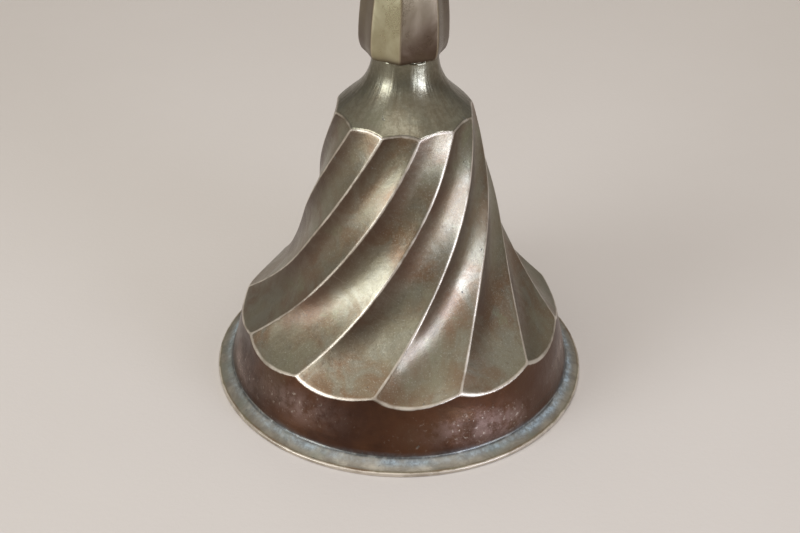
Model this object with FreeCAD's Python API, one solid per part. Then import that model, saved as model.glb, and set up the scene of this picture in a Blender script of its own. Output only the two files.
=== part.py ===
# Sanctus hand bell, in millimetres: a cast brass cup with twisted flutes, an eight-sided grip held
# on by a tie rod, and a clapper hung inside on a link.
#
# Frame: the bell stands on its rim. The origin is the centre of the rim's flat underside, and +Z
# runs up the axis through crown and handle. Each sub-part is one solid, written to parts/NODE.step.
import FreeCAD, Part
import math
import os

Vec = FreeCAD.Vector
UP = Vec(0, 0, 1)
ALONG_X = Vec(1, 0, 0)
ALONG_Y = Vec(0, 1, 0)
CENTRE = Vec(0, 0, 0)

# ---- the cup, outside
MOUTH_R = 45.0            # outer radius of the lip
LIP_EDGE = 0.9            # thickness of the lip at its edge
LIP_WIDTH = 3.5           # how far the lip stands out from the skirt's foot
LIP_RISE = 2.6            # height of the corner between lip and skirt
LIP_HOLLOW = 0.35         # how far the lip's upper face dips below a straight cone
EDGE_ROUND = 0.25         # rounding of the lip's two edges
SKIRT_TAPER = 3.3         # how much the plain skirt narrows from foot to top
SKIRT_H = 16.7            # height at which the flutes' ridges run out on the skirt
FLUTES_H = 53.6           # height of the fluted waist, along a ridge
CROWN_H = 15.2            # dome and neck, above the flutes
SHOULDER_R = 15.95        # radius of the ridges at their upper end
NECK_R = 7.2              # radius of the neck under the handle

# ---- the flutes
FLUTES = 12               # number of flutes
STRAIGHT_FOOT_R = 29.65   # radius that the waist's straight taper would have at the skirt
FLARE_H = 26.8            # height over which the waist flares out to the skirt
FLARE_POWER = 2.6         # how late the flare opens
FLUTE_DEPTH = 0.06        # depth of a flute in the waist, as a share of the ridge's radius
FLUTE_DEPTH_TOP = 0.03    # the same where the flutes meet the dome
FLUTE_DEPTH_FOOT = 0.042  # and where they meet the skirt
DEPTH_FADE = 16           # height over which a flute comes to its full depth, at either end
TWIST_START = -163.2      # direction of one ridge at the start of the twist, degrees from +X
TWIST = 95.1              # total turn of a ridge over the twisted height, degrees
TWIST_POWER = 1.15        # above 1, the twist is slower at the foot
RUN_OUT = 4.7             # how far the flute surfaces are built past each end of the waist
SECTIONS = 17             # sections that the flute surfaces pass through

# ---- the cup, inside
WALL = 2.4                # wall behind the bottom of a flute
SKIRT_WALL = 2.6          # wall of the skirt
CEILING_DROP = 14.0       # from the neck's top down to the flat ceiling inside
CEILING_R = 8.6           # radius of the flat ceiling
CEILING_ROUND = 5.0       # rounding between ceiling and wall

# ---- the handle
GRIP_SIDES = 8
GRIP_H = 60.5             # length of the grip
GRIP_FOOT_R = 8.9         # corner radius of the grip's flat underside
GRIP_BULGE_R = 10.0       # corner radius at its fullest
GRIP_WAIST_R = 6.7        # corner radius at its slimmest
GRIP_HEAD_R = 7.9         # corner radius where it swells again under the knob
GRIP_TURN = -90.0         # direction of one corner, degrees from +X
KNOB_H = 14.0             # height of the finial knob
KNOB_R = 6.6              # radius of its ball
KNOB_COLLAR_R = 7.0       # radius of its collar
KNOB_COLLAR_H = 2.2
KNOB_NECK_R = 4.2         # radius between collar and ball

# ---- the tie rod and what it clamps
ROD_R = 3.0
ROD_IN_KNOB = 7.0         # how far the rod screws into the knob
ROD_CLEARANCE = 0.2       # radial clearance of the rod in grip and cup
THREAD_FIT = 0.02         # radial gap left where a thread holds
LEATHER_R = 8.2
LEATHER_T = 1.2
WASHER_R = 7.0
WASHER_T = 1.0
NUT_FLATS = 10.0          # across the flats
NUT_H = 5.0
NUT_CHAMFER = 0.6

# ---- the clapper and its hanger
WIRE_CLEARANCE = 0.3      # gap between two wires that hang in each other
STAPLE_WIRE_R = 1.2
STAPLE_BORE_R = 2.6       # inside radius of the staple's eye
STAPLE_COLLAR_WALL = 1.5  # wall of the staple's collar round the rod
STAPLE_COLLAR_H = 7.0
STAPLE_TAPER_H = 2.2      # height over which the collar tapers to the eye
STAPLE_SINK = 1.6         # how deep the eye is rooted in its collar
LINK_WIRE_R = 1.0
LINK_STRAIGHT = 4.5       # straight length of the link's sides
EYE_WIRE_R = 1.2
EYE_BORE_R = 2.4          # inside radius of the clapper's eye
STEM_R = 1.6
STEM_COLLAR_R = 2.9       # shoulder on which the ball seats
STEM_COLLAR_H = 1.6
STEM_NECK_H = 3.0         # cone from the eye down to the stem
BALL_R = 7.5
BALL_FLAT_R = 3.1         # radius of the flats that shoulder and rove seat on
ROVE_R = 2.9
ROVE_T = 0.8
RIVET_R = 2.3
RIVET_H = 1.0
CLAPPER_LIFT = 3.2        # clapper's lowest point above the rim's plane

# ---- worked out from the values above
FOOT_R = MOUTH_R - LIP_WIDTH
SKIRT_TOP_R = FOOT_R - SKIRT_TAPER
SHOULDER_Z = SKIRT_H + FLUTES_H
NECK_Z = SHOULDER_Z + CROWN_H
CEILING_Z = NECK_Z - CEILING_DROP
TWIST_Z0 = SKIRT_H - RUN_OUT
TWIST_Z1 = SHOULDER_Z + RUN_OUT + 1.0
KNOB_Z = NECK_Z + GRIP_H
TOP_Z = KNOB_Z + KNOB_H
LEATHER_Z = CEILING_Z - LEATHER_T
WASHER_Z = LEATHER_Z - WASHER_T
NUT_Z = WASHER_Z - NUT_H
STAPLE_Z = NUT_Z - STAPLE_COLLAR_H
STAPLE_COLLAR_R = ROD_R + STAPLE_COLLAR_WALL
ROD_Z = STAPLE_Z + STAPLE_TAPER_H + 0.2           # lower end of the rod, inside the staple's collar
STAPLE_RING_R = STAPLE_BORE_R + STAPLE_WIRE_R
STAPLE_EYE_Z = STAPLE_Z + STAPLE_SINK - STAPLE_RING_R - STAPLE_WIRE_R
SWING_Z = STAPLE_EYE_Z - STAPLE_RING_R            # the link swings about the staple's wire here
LINK_END_R = STAPLE_WIRE_R + WIRE_CLEARANCE + LINK_WIRE_R
LINK_FOOT_Z = SWING_Z - LINK_STRAIGHT
TILT_Z = LINK_FOOT_Z - LINK_END_R                 # the clapper swings about the link's wire here
EYE_RING_R = EYE_BORE_R + EYE_WIRE_R
EYE_TOP_Z = TILT_Z + LINK_WIRE_R + WIRE_CLEARANCE + EYE_WIRE_R
EYE_Z = EYE_TOP_Z - EYE_RING_R
STEM_TOP_Z = EYE_Z - EYE_RING_R
RIVET_Z = CLAPPER_LIFT
ROVE_Z = RIVET_Z + RIVET_H
BALL_FLAT_Z = math.sqrt(BALL_R ** 2 - BALL_FLAT_R ** 2)   # a flat's distance from the ball's centre
BALL_Z = ROVE_Z + ROVE_T + BALL_FLAT_Z
STEM_COLLAR_Z = BALL_Z + BALL_FLAT_Z


def at(r, z):
    """A point of a turned outline: radius r at height z."""
    return Vec(r, 0, z)


def line(a, b):
    return Part.LineSegment(a, b).toShape()


def arc(a, middle, b):
    return Part.Arc(a, middle, b).toShape()


def curve(points):
    """A smooth curve through the points."""
    spline = Part.BSplineCurve()
    spline.interpolate(points)
    return spline.toShape()


def polyline(points):
    """Straight edges from each point to the next."""
    return [line(a, b) for a, b in zip(points, points[1:])]


def turned(edges):
    """The solid that a closed outline in the XZ plane makes when it is turned about the axis."""
    return Part.Face(Part.Wire(edges)).revolve(CENTRE, UP, 360)


def turned_polygon(points):
    return turned(polyline(points + points[:1]))


def cylinder(radius, z0, z1):
    return Part.makeCylinder(radius, z1 - z0, at(0, z0))


def ring(radius, wire_r, centre, axis):
    return Part.makeTorus(radius, wire_r, centre, axis)


def ridge_radius(z):
    """Radius of the flutes' ridges: a straight taper, and a flare that opens towards the skirt."""
    rise = (z - SKIRT_H) / FLUTES_H
    straight = STRAIGHT_FOOT_R + (SHOULDER_R - STRAIGHT_FOOT_R) * rise
    opening = max(0.0, 1 - (z - SKIRT_H) / FLARE_H)
    return straight + (SKIRT_TOP_R - STRAIGHT_FOOT_R) * opening ** FLARE_POWER


def ridge_angle(z):
    """Direction of the first ridge at height z, in radians."""
    rise = (z - TWIST_Z0) / (TWIST_Z1 - TWIST_Z0)
    return math.radians(TWIST_START + TWIST * rise ** TWIST_POWER)


def around(radius, angle, z):
    return Vec(radius * math.cos(angle), radius * math.sin(angle), z)


def eased(share):
    """A smooth S from 0 to 1 as share runs from 0 to 1."""
    share = min(1.0, max(0.0, share))
    return share * share * (3 - 2 * share)


def flute_depth(z):
    """Depth of a flute as a share of the ridge's radius: full in the waist, less at each end."""
    from_skirt = eased((z - SKIRT_H + RUN_OUT) / DEPTH_FADE)
    from_dome = eased((SHOULDER_Z + RUN_OUT / 2 - z) / DEPTH_FADE)
    lower = FLUTE_DEPTH_FOOT + (FLUTE_DEPTH - FLUTE_DEPTH_FOOT) * from_skirt
    return FLUTE_DEPTH_TOP + (lower - FLUTE_DEPTH_TOP) * from_dome


def flute_section(z):
    """One level of the waist: a hollow arc from each ridge to the next."""
    radius = ridge_radius(z)
    hollow_r = radius * (1 - flute_depth(z))
    start = ridge_angle(z)
    step = 2 * math.pi / FLUTES
    edges = []
    for i in range(FLUTES):
        a = around(radius, start + i * step, z)
        middle = around(hollow_r, start + (i + 0.5) * step, z)
        b = around(radius, start + (i + 1) * step, z)
        edges.append(arc(a, middle, b))
    return Part.Wire(edges)


def fluted_waist():
    """The twisted, fluted column that bounds the cup between skirt and shoulder."""
    rise = (TWIST_Z1 - TWIST_Z0) / (SECTIONS - 1)
    wires = [flute_section(TWIST_Z0 + i * rise) for i in range(SECTIONS)]
    return Part.makeLoft(wires, True, False)


def cup_outline():
    """Lip, skirt, dome and neck as one turned solid, wide open where the flutes bound the cup."""
    edge = LIP_EDGE
    bevel = EDGE_ROUND * (1 - math.sqrt(0.5))
    lip_middle = at(
        MOUTH_R - LIP_WIDTH / 2 - LIP_HOLLOW * 0.44,
        (edge + LIP_RISE) / 2 - LIP_HOLLOW * 0.9,
    )
    open_z = SKIRT_H + FLARE_H / 3
    skirt_slope = SKIRT_TAPER / (SKIRT_H - LIP_RISE)
    skirt_end = at(SKIRT_TOP_R - skirt_slope * (open_z - SKIRT_H), open_z)
    dome = [
        at(SHOULDER_R + 1.65, SHOULDER_Z - 2.9),
        at(SHOULDER_R + 0.1, SHOULDER_Z - 0.1),
        at(SHOULDER_R - 1.35, SHOULDER_Z + 1.7),
        at(SHOULDER_R - 3.95, SHOULDER_Z + 4.0),
        at(NECK_R + 2.4, SHOULDER_Z + 7.1),
        at(NECK_R + 0.7, SHOULDER_Z + 10.7),
        at(NECK_R, NECK_Z),
    ]
    wide = SKIRT_TOP_R + LIP_WIDTH
    edges = [
        line(at(0, 0), at(MOUTH_R - EDGE_ROUND, 0)),
        arc(at(MOUTH_R - EDGE_ROUND, 0), at(MOUTH_R - bevel, bevel), at(MOUTH_R, EDGE_ROUND)),
        line(at(MOUTH_R, EDGE_ROUND), at(MOUTH_R, edge)),
        arc(at(MOUTH_R, edge), lip_middle, at(FOOT_R, LIP_RISE)),
        line(at(FOOT_R, LIP_RISE), skirt_end),
        line(skirt_end, at(wide, open_z)),
        line(at(wide, open_z), at(wide, dome[0].z)),
        line(at(wide, dome[0].z), dome[0]),
        curve(dome),
        line(at(NECK_R, NECK_Z), at(0, NECK_Z)),
        line(at(0, NECK_Z), at(0, 0)),
    ]
    return turned(edges)


def cup_hollow():
    """The smooth space inside the cup, open at the mouth and flat at the ceiling."""
    foot_z = SKIRT_H - 2.0
    top_z = CEILING_Z - CEILING_ROUND
    steps = 9
    wall = []
    for i in range(steps + 1):
        z = SKIRT_H + 1.3 + (top_z - 1.0 - SKIRT_H - 1.3) * i / steps
        wall.append(at(ridge_radius(z) * (1 - FLUTE_DEPTH) - WALL, z))
    skirt_slope = SKIRT_TAPER / (SKIRT_H - LIP_RISE)
    mouth_r = FOOT_R - SKIRT_WALL
    foot = at(mouth_r - skirt_slope * foot_z, foot_z)
    corner = at(CEILING_R + CEILING_ROUND, top_z)
    lean = CEILING_ROUND * (1 - math.sqrt(0.5))
    ceiling_middle = at(CEILING_R + CEILING_ROUND - lean, CEILING_Z - lean)
    edges = [
        line(at(0, 0), at(mouth_r, 0)),
        line(at(mouth_r, 0), foot),
        curve([foot] + wall + [corner]),
        arc(corner, ceiling_middle, at(CEILING_R, CEILING_Z)),
        line(at(CEILING_R, CEILING_Z), at(0, CEILING_Z)),
        line(at(0, CEILING_Z), at(0, 0)),
    ]
    return turned(edges)


def bell_shell():
    """The cast cup: its outline trimmed by the fluted column, hollowed, and drilled for the rod."""
    beyond = MOUTH_R + NECK_Z
    low_cover = cylinder(beyond, -RUN_OUT, TWIST_Z0)
    high_cover = cylinder(beyond, TWIST_Z1, NECK_Z + RUN_OUT)
    cover = fluted_waist().fuse([low_cover, high_cover])
    body = cup_outline().common(cover)
    bore = cylinder(ROD_R + ROD_CLEARANCE, CEILING_Z - 1, NECK_Z + 1)
    return body.cut([cup_hollow(), bore])


def eight_sided(radius, z):
    corners = []
    for i in range(GRIP_SIDES + 1):
        angle = math.radians(GRIP_TURN + 360.0 * (i % GRIP_SIDES) / GRIP_SIDES)
        corners.append(around(radius, angle, z))
    return Part.makePolygon(corners)


def handle_grip():
    """The eight-sided grip: full just above its flat underside, slim in the middle, fuller on top."""
    levels = [
        (0.0, GRIP_FOOT_R),
        (0.025, GRIP_BULGE_R - 0.25),
        (0.055, GRIP_BULGE_R),
        (0.11, GRIP_BULGE_R - 0.1),
        (0.20, GRIP_BULGE_R - 0.45),
        (0.38, (GRIP_BULGE_R + GRIP_WAIST_R) / 2 - 0.1),
        (0.60, GRIP_WAIST_R),
        (0.78, (GRIP_WAIST_R + GRIP_HEAD_R) / 2 - 0.15),
        (0.93, GRIP_HEAD_R),
        (1.0, GRIP_HEAD_R - 0.5),
    ]
    wires = [eight_sided(radius, NECK_Z + share * GRIP_H) for share, radius in levels]
    body = Part.makeLoft(wires, True, False)
    return body.cut(cylinder(ROD_R + ROD_CLEARANCE, NECK_Z - 1, KNOB_Z + 1))


def finial_knob():
    """A turned knob: collar, hollowed neck and ball, with a blind threaded hole underneath."""
    ball_z = TOP_Z - KNOB_R
    neck_z = KNOB_Z + KNOB_COLLAR_H
    half = KNOB_COLLAR_H / 2
    swell = KNOB_COLLAR_R - half
    join = math.asin(min(0.9, (KNOB_NECK_R + 0.6) / KNOB_R))
    join_at = at(KNOB_R * math.sin(join), ball_z - KNOB_R * math.cos(join))
    neck_middle = at(KNOB_NECK_R, (neck_z + join_at.z) / 2)
    edges = [
        line(at(0, KNOB_Z), at(swell, KNOB_Z)),
        arc(at(swell, KNOB_Z), at(KNOB_COLLAR_R, KNOB_Z + half), at(swell, neck_z)),
        line(at(swell, neck_z), at(KNOB_NECK_R + 0.7, neck_z)),
        arc(at(KNOB_NECK_R + 0.7, neck_z), neck_middle, join_at),
        arc(join_at, at(KNOB_R, ball_z), at(0, TOP_Z)),
        line(at(0, TOP_Z), at(0, KNOB_Z)),
    ]
    hole = cylinder(ROD_R + THREAD_FIT, KNOB_Z - 1, KNOB_Z + ROD_IN_KNOB + 0.5)
    return turned(edges).cut(hole)


def tie_rod():
    """The threaded rod from the staple, up through crown, neck and grip, into the knob."""
    return cylinder(ROD_R, ROD_Z, KNOB_Z + ROD_IN_KNOB)


def washer(outer_r, bore_r, z, thickness):
    return cylinder(outer_r, z, z + thickness).cut(cylinder(bore_r, z - 1, z + thickness + 1))


def leather_washer():
    return washer(LEATHER_R, ROD_R + ROD_CLEARANCE, LEATHER_Z, LEATHER_T)


def crown_washer():
    return washer(WASHER_R, ROD_R + ROD_CLEARANCE, WASHER_Z, WASHER_T)


def crown_nut():
    """A hexagon nut, its corners chamfered on both faces."""
    corner_r = NUT_FLATS / math.sqrt(3)
    corners = [around(corner_r, math.radians(60 * (i % 6)), NUT_Z) for i in range(7)]
    hexagon = Part.Face(Part.makePolygon(corners)).extrude(Vec(0, 0, NUT_H))
    rim = NUT_FLATS / 2
    reach = corner_r + 1
    drop = (reach - rim) * NUT_CHAMFER / (corner_r - rim)
    barrel = turned_polygon([
        at(0, NUT_Z),
        at(rim, NUT_Z),
        at(reach, NUT_Z + drop),
        at(reach, NUT_Z + NUT_H - drop),
        at(rim, NUT_Z + NUT_H),
        at(0, NUT_Z + NUT_H),
    ])
    bore = cylinder(ROD_R + THREAD_FIT, NUT_Z - 1, NUT_Z + NUT_H + 1)
    return hexagon.common(barrel).cut(bore)


def clapper_staple():
    """The eye nut on the rod's lower end: a collar with a ring across the XZ plane under it."""
    narrow = STAPLE_WIRE_R + 1.0
    collar = turned_polygon([
        at(0, STAPLE_Z),
        at(narrow, STAPLE_Z),
        at(STAPLE_COLLAR_R, STAPLE_Z + STAPLE_TAPER_H),
        at(STAPLE_COLLAR_R, NUT_Z),
        at(0, NUT_Z),
    ])
    eye = ring(STAPLE_RING_R, STAPLE_WIRE_R, at(0, STAPLE_EYE_Z), ALONG_Y)
    bore = cylinder(ROD_R + THREAD_FIT, ROD_Z - 0.1, NUT_Z + 1)
    clear = Part.makeCylinder(
        STAPLE_BORE_R, 4 * STAPLE_COLLAR_R, Vec(0, -2 * STAPLE_COLLAR_R, STAPLE_EYE_Z), ALONG_Y
    )
    return collar.cut(clear).fuse(eye).cut(bore)


def hanger_link():
    """A long wire link in the YZ plane, round at both ends, from the staple's eye to the clapper's."""
    pieces = []
    for side in (-1, 1):
        foot = Vec(0, side * LINK_END_R, LINK_FOOT_Z)
        pieces.append(Part.makeCylinder(LINK_WIRE_R, LINK_STRAIGHT, foot))
    for z, turn in ((SWING_Z, 180), (LINK_FOOT_Z, -180)):
        section = Part.Circle(Vec(0, LINK_END_R, z), UP, LINK_WIRE_R).toShape()
        bend = Part.Face(Part.Wire([section])).revolve(at(0, z), ALONG_X, turn)
        pieces.append(bend)
    return pieces[0].fuse(pieces[1:]).removeSplitter()


def clapper_stem():
    """The forged stem: an eye in the XZ plane, a tapered neck, a shoulder and a riveted-over foot."""
    shaft = turned_polygon([
        at(0, RIVET_Z),
        at(RIVET_R - 0.7, RIVET_Z),
        at(RIVET_R, RIVET_Z + RIVET_H * 0.6),
        at(RIVET_R, ROVE_Z),
        at(STEM_R, ROVE_Z),
        at(STEM_R, STEM_COLLAR_Z),
        at(STEM_COLLAR_R, STEM_COLLAR_Z),
        at(STEM_COLLAR_R, STEM_COLLAR_Z + STEM_COLLAR_H / 2),
        at(STEM_R, STEM_COLLAR_Z + STEM_COLLAR_H),
        at(STEM_R, STEM_TOP_Z - STEM_NECK_H),
        at(STEM_R + 0.7, STEM_TOP_Z),
        at(0, STEM_TOP_Z),
    ])
    eye = ring(EYE_RING_R, EYE_WIRE_R, at(0, EYE_Z), ALONG_Y)
    return shaft.fuse(eye)


def clapper_ball():
    """The striking ball, drilled for the stem and faced flat above and below."""
    ball = Part.makeSphere(BALL_R, at(0, BALL_Z))
    faced = ball.common(cylinder(BALL_R + 1, BALL_Z - BALL_FLAT_Z, BALL_Z + BALL_FLAT_Z))
    return faced.cut(cylinder(STEM_R + THREAD_FIT, BALL_Z - BALL_R, BALL_Z + BALL_R))


def ball_rove():
    return washer(ROVE_R, STEM_R + THREAD_FIT, ROVE_Z, ROVE_T)


MAKERS = [
    bell_shell,
    handle_grip,
    finial_knob,
    tie_rod,
    leather_washer,
    crown_washer,
    crown_nut,
    clapper_staple,
    hanger_link,
    clapper_stem,
    clapper_ball,
    ball_rove,
]

os.makedirs("parts", exist_ok=True)
for make in MAKERS:
    shape = make()
    name = make.__name__
    shape.exportStep(f"parts/{name}.step")
    print(f"{name}: {len(shape.Solids)} solid, {shape.Volume:.1f} mm3, valid {shape.isValid()}")
print(f"swing axis z {SWING_Z:.3f}, tilt axis z {TILT_Z:.3f}, ball z {BALL_Z:.3f}, top {TOP_Z:.1f}")
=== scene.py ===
"""The looks of a sanctus hand bell: a cast cup with twisted flutes, a faceted grip and a hung clapper.

Shapes are worked out in millimetres about the bell's axis and written to the meshes in metres.
"""
import math

import bmesh
import bpy
import numpy as np
from mathutils import Matrix, Vector


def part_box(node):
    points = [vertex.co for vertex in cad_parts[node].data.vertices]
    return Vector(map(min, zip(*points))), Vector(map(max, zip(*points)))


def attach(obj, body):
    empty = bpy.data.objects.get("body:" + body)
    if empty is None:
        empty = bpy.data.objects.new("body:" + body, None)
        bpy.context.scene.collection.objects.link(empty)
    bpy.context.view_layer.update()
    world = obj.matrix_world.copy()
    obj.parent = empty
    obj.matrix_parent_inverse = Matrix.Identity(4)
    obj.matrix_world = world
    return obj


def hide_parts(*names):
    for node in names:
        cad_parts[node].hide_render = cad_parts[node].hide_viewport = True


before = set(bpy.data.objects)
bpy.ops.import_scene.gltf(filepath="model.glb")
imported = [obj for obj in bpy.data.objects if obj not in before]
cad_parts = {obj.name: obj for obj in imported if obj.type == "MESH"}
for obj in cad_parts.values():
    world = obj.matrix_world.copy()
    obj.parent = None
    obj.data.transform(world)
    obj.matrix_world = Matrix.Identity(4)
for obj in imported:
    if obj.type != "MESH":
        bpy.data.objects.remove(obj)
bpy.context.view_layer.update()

MM = 0.001


def box_mm(node):
    """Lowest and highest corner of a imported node, in millimetres."""
    low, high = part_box(node)
    return np.array(low) / MM, np.array(high) / MM


# ---- places and sizes read from the frame
CUP_HIGH = box_mm("bell_shell")[1]
GRIP_LOW, GRIP_HIGH = box_mm("handle_grip")
KNOB_LOW, KNOB_HIGH = box_mm("finial_knob")
MOUTH_R = CUP_HIGH[0]
NECK_Z = CUP_HIGH[2]

# ---- the cup, outside
FLUTES = 12
LIP_WIDTH = 3.5
LIP_RISE = 2.6            # height of the lip's inner corner, where the skirt starts
LIP_EDGE = 0.9            # thickness of the lip at the mouth
SKIRT_H = 16.7
SKIRT_TAPER = 3.3         # how much slimmer the skirt is at its top
CROWN_H = 15.2            # dome and neck together
SHOULDER_R = 15.95        # radius of the ridges at the shoulder
STRAIGHT_FOOT_R = 29.65   # radius that the ridges' straight taper would have at the skirt
FLARE_H = 26.8            # height over which the ridges open out to the skirt
FLARE_POWER = 2.6
FLUTE_DEPTH = 0.06        # depth of a flute in the waist, as a share of the ridge's radius
FLUTE_DEPTH_TOP = 0.03    # the same at the shoulder
FLUTE_DEPTH_FOOT = 0.042  # and at the skirt
TWIST_START = -163.2      # direction of the first ridge at the start of the twist, degrees
TWIST = 95.1              # total turn of a ridge, degrees
TWIST_POWER = 1.15        # above 1, the twist is slower at the foot
RUN_OUT = 4.7             # how far the twist runs past each end of the flutes
NECK_R = 7.2
DOME_SWELL = 11.4         # radius that the dome adds to the neck's
DOME_DROP = 4.3           # how far the dome's fullest height lies under the shoulder
DOME_SPREAD = 9.0         # height over which the dome falls to the neck
RIDGE_ROUND = 0.34        # how far a ridge is rounded off
FOOT_R = MOUTH_R - LIP_WIDTH
SKIRT_TOP_R = FOOT_R - SKIRT_TAPER
SHOULDER_Z = NECK_Z - CROWN_H
FLUTES_H = SHOULDER_Z - SKIRT_H
SKIRT_SLOPE = SKIRT_TAPER / (SKIRT_H - LIP_RISE)
TWIST_Z0 = SKIRT_H - RUN_OUT
TWIST_Z1 = SHOULDER_Z + RUN_OUT + 1.0

# ---- lighter patches on the skirt, a painted highlight partly from hand wear: direction and spread in degrees, height in millimetres
SHEEN_AND_RUB_SPOTS = (
    (-65, 13, 8), (-52, 9, 6), (-127, 14, 10), (-160, 12, 7), (-8, 15, 9), (52, 18, 8), (118, 14, 10),
)

# ---- the cup, inside
WALL = 2.4                # behind the bottom of a flute
SKIRT_WALL = 2.6
CEILING_Z = box_mm("leather_washer")[1][2]
CEILING_R = 8.6
CEILING_ROUND = 5.0
BORE_R = 3.2
THREAD_R = 3.02           # bore of a threaded piece on the rod


# =====================================================================================
# Mesh making
# =====================================================================================

def weld(mesh):
    """Merges doubles at seams and poles, then turns every face outwards."""
    work = bmesh.new()
    work.from_mesh(mesh)
    bmesh.ops.remove_doubles(work, verts=work.verts, dist=1e-7)
    bmesh.ops.recalc_face_normals(work, faces=work.faces)
    work.to_mesh(mesh)
    work.free()


def skin(name, points, close_rows=True, close_columns=True, marks=None):
    """A mesh of quads over a grid of points (rows, columns, xyz) in millimetres.

    marks maps an attribute's name to its value at each point of the grid.
    """
    rows, columns = points.shape[:2]
    i = np.arange(rows if close_rows else rows - 1)
    j = np.arange(columns if close_columns else columns - 1)
    i, j = np.meshgrid(i, j, indexing="ij")
    below, beside = (i + 1) % rows, (j + 1) % columns
    quads = np.stack(
        [i * columns + j, i * columns + beside, below * columns + beside, below * columns + j], -1
    ).reshape(-1, 4)
    mesh = bpy.data.meshes.new(name)
    mesh.from_pydata(points.reshape(-1, 3) * MM, [], quads.tolist())
    for mark, values in (marks or {}).items():
        layer = mesh.attributes.new(mark, "FLOAT", "POINT")
        layer.data.foreach_set("value", np.ascontiguousarray(values, np.float32).ravel())
    weld(mesh)
    mesh.polygons.foreach_set("use_smooth", np.ones(len(mesh.polygons), bool))
    mesh.update()
    piece = bpy.data.objects.new(name, mesh)
    bpy.context.scene.collection.objects.link(piece)
    return piece


def smoothstep(low, high, x):
    """0 below low, 1 above high, and a smooth S between them."""
    s = np.clip((x - low) / (high - low), 0, 1)
    return s * s * (3 - 2 * s)


def rounded(corners, steps=5):
    """A path (r, z) through corners (r, z, radius), each corner turned into an arc of its radius."""
    path = []
    for k, (r, z, radius) in enumerate(corners):
        here = np.array((r, z), float)
        if radius <= 0 or k in (0, len(corners) - 1):
            path.append(here[None])
            continue
        back = np.array(corners[k - 1][:2], float) - here
        ahead = np.array(corners[k + 1][:2], float) - here
        back /= np.linalg.norm(back)
        ahead /= np.linalg.norm(ahead)
        half = math.acos(np.clip(back @ ahead, -1, 1)) / 2
        if half > math.pi / 2 - 0.02:
            path.append(here[None])
            continue
        reach = radius / math.tan(half)
        centre = here + (back + ahead) / np.linalg.norm(back + ahead) * radius / math.sin(half)
        a, b = here + back * reach - centre, here + ahead * reach - centre
        turn = math.atan2(a[0] * b[1] - a[1] * b[0], a @ b)
        angles = np.linspace(0, turn, steps + 1)
        spin = np.stack([np.cos(angles), np.sin(angles)], -1)
        path.append(centre + np.stack([
            spin[:, 0] * a[0] - spin[:, 1] * a[1],
            spin[:, 1] * a[0] + spin[:, 0] * a[1],
        ], -1))
    return np.concatenate(path)


def spread(path, step):
    """The same path with points added so that none lie further apart than step."""
    out = [path[:1]]
    for a, b in zip(path, path[1:]):
        n = max(1, int(math.ceil(np.linalg.norm(b - a) / step)))
        out.append(a + (b - a) * (np.arange(1, n + 1) / n)[:, None])
    return np.concatenate(out)


def turned(name, path, columns=96, close=True, marks=None):
    """A turned surface: the path (r, z) carried once round the axis.

    A path that starts and ends on the axis closes at its poles, and close joins its end to its start.
    """
    angle = np.arange(columns) * 2 * np.pi / columns
    r, z = path[:, :1], path[:, 1:]
    points = np.stack([r * np.cos(angle), r * np.sin(angle), z + 0 * angle], -1)
    wide = {k: np.repeat(np.asarray(v, float)[:, None], columns, 1) for k, v in (marks or {}).items()}
    return skin(name, points, close_rows=close, marks=wide)


def ripple(angle, z, seed, waves=9, low=1, high=7, height=30.0):
    """Soft unevenness round the axis: a few seeded waves in direction and height, from -1 to 1."""
    rng = np.random.default_rng(seed)
    total = 0
    for _ in range(waves):
        count = int(rng.integers(low, high + 1))
        pitch = rng.uniform(0.4, 2.5) * 2 * np.pi / height * rng.choice([-1, 1])
        total = total + np.sin(count * angle + pitch * z + rng.uniform(0, 2 * np.pi))
    return total / math.sqrt(waves)


# =====================================================================================
# The cup
# =====================================================================================

def ridge_radius(z):
    """Radius of the ridges: a straight taper, and a flare that opens towards the skirt."""
    rise = (z - SKIRT_H) / FLUTES_H
    straight = STRAIGHT_FOOT_R + (SHOULDER_R - STRAIGHT_FOOT_R) * rise
    opening = np.maximum(0, 1 - (z - SKIRT_H) / FLARE_H)
    return straight + (SKIRT_TOP_R - STRAIGHT_FOOT_R) * opening ** FLARE_POWER


def ridge_angle(z):
    """Direction of the first ridge at height z, in radians; the twist is slower at the foot."""
    rise = (np.clip(z, TWIST_Z0 + 0.5, SHOULDER_Z + 3.5) - TWIST_Z0) / (TWIST_Z1 - TWIST_Z0)
    return np.radians(TWIST_START + TWIST * rise ** TWIST_POWER)


def flute_depth(z):
    """How deep a flute is at height z: it runs out shallower at the shoulder and at the skirt."""
    upper = smoothstep(0, 15, SHOULDER_Z + 2 - z)
    lower = smoothstep(0, 16, z - SKIRT_H + 3)
    waist = FLUTE_DEPTH_FOOT + (FLUTE_DEPTH - FLUTE_DEPTH_FOOT) * lower
    return FLUTE_DEPTH_TOP + (waist - FLUTE_DEPTH_TOP) * upper


def hollowed(radius, across, depth, round_mm, sides):
    """Radius of a side hollowed between two ridges.

    across runs from -1 on one ridge to 1 on the next. The hollow deepens as a parabola, and
    a hyperbola of round_mm takes the sharpness off each ridge.
    """
    blunt = round_mm / (radius * np.pi / sides)
    from_ridge = np.sqrt((1 - np.abs(across)) ** 2 + blunt ** 2) - blunt
    return radius * (1 - depth * from_ridge * (2 - from_ridge))


def turned_radius(z):
    """Radius of the turned parts outside: the skirt's cone below, dome and neck above."""
    skirt = FOOT_R - SKIRT_SLOPE * (z - LIP_RISE)
    dome = NECK_R + DOME_SWELL * np.exp(-(((z - SHOULDER_Z + DOME_DROP) / DOME_SPREAD) ** 2))
    return np.where(z < SKIRT_H + FLARE_H / 3, skirt, np.where(z > SHOULDER_Z - 3, dome, 99.0))


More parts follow.
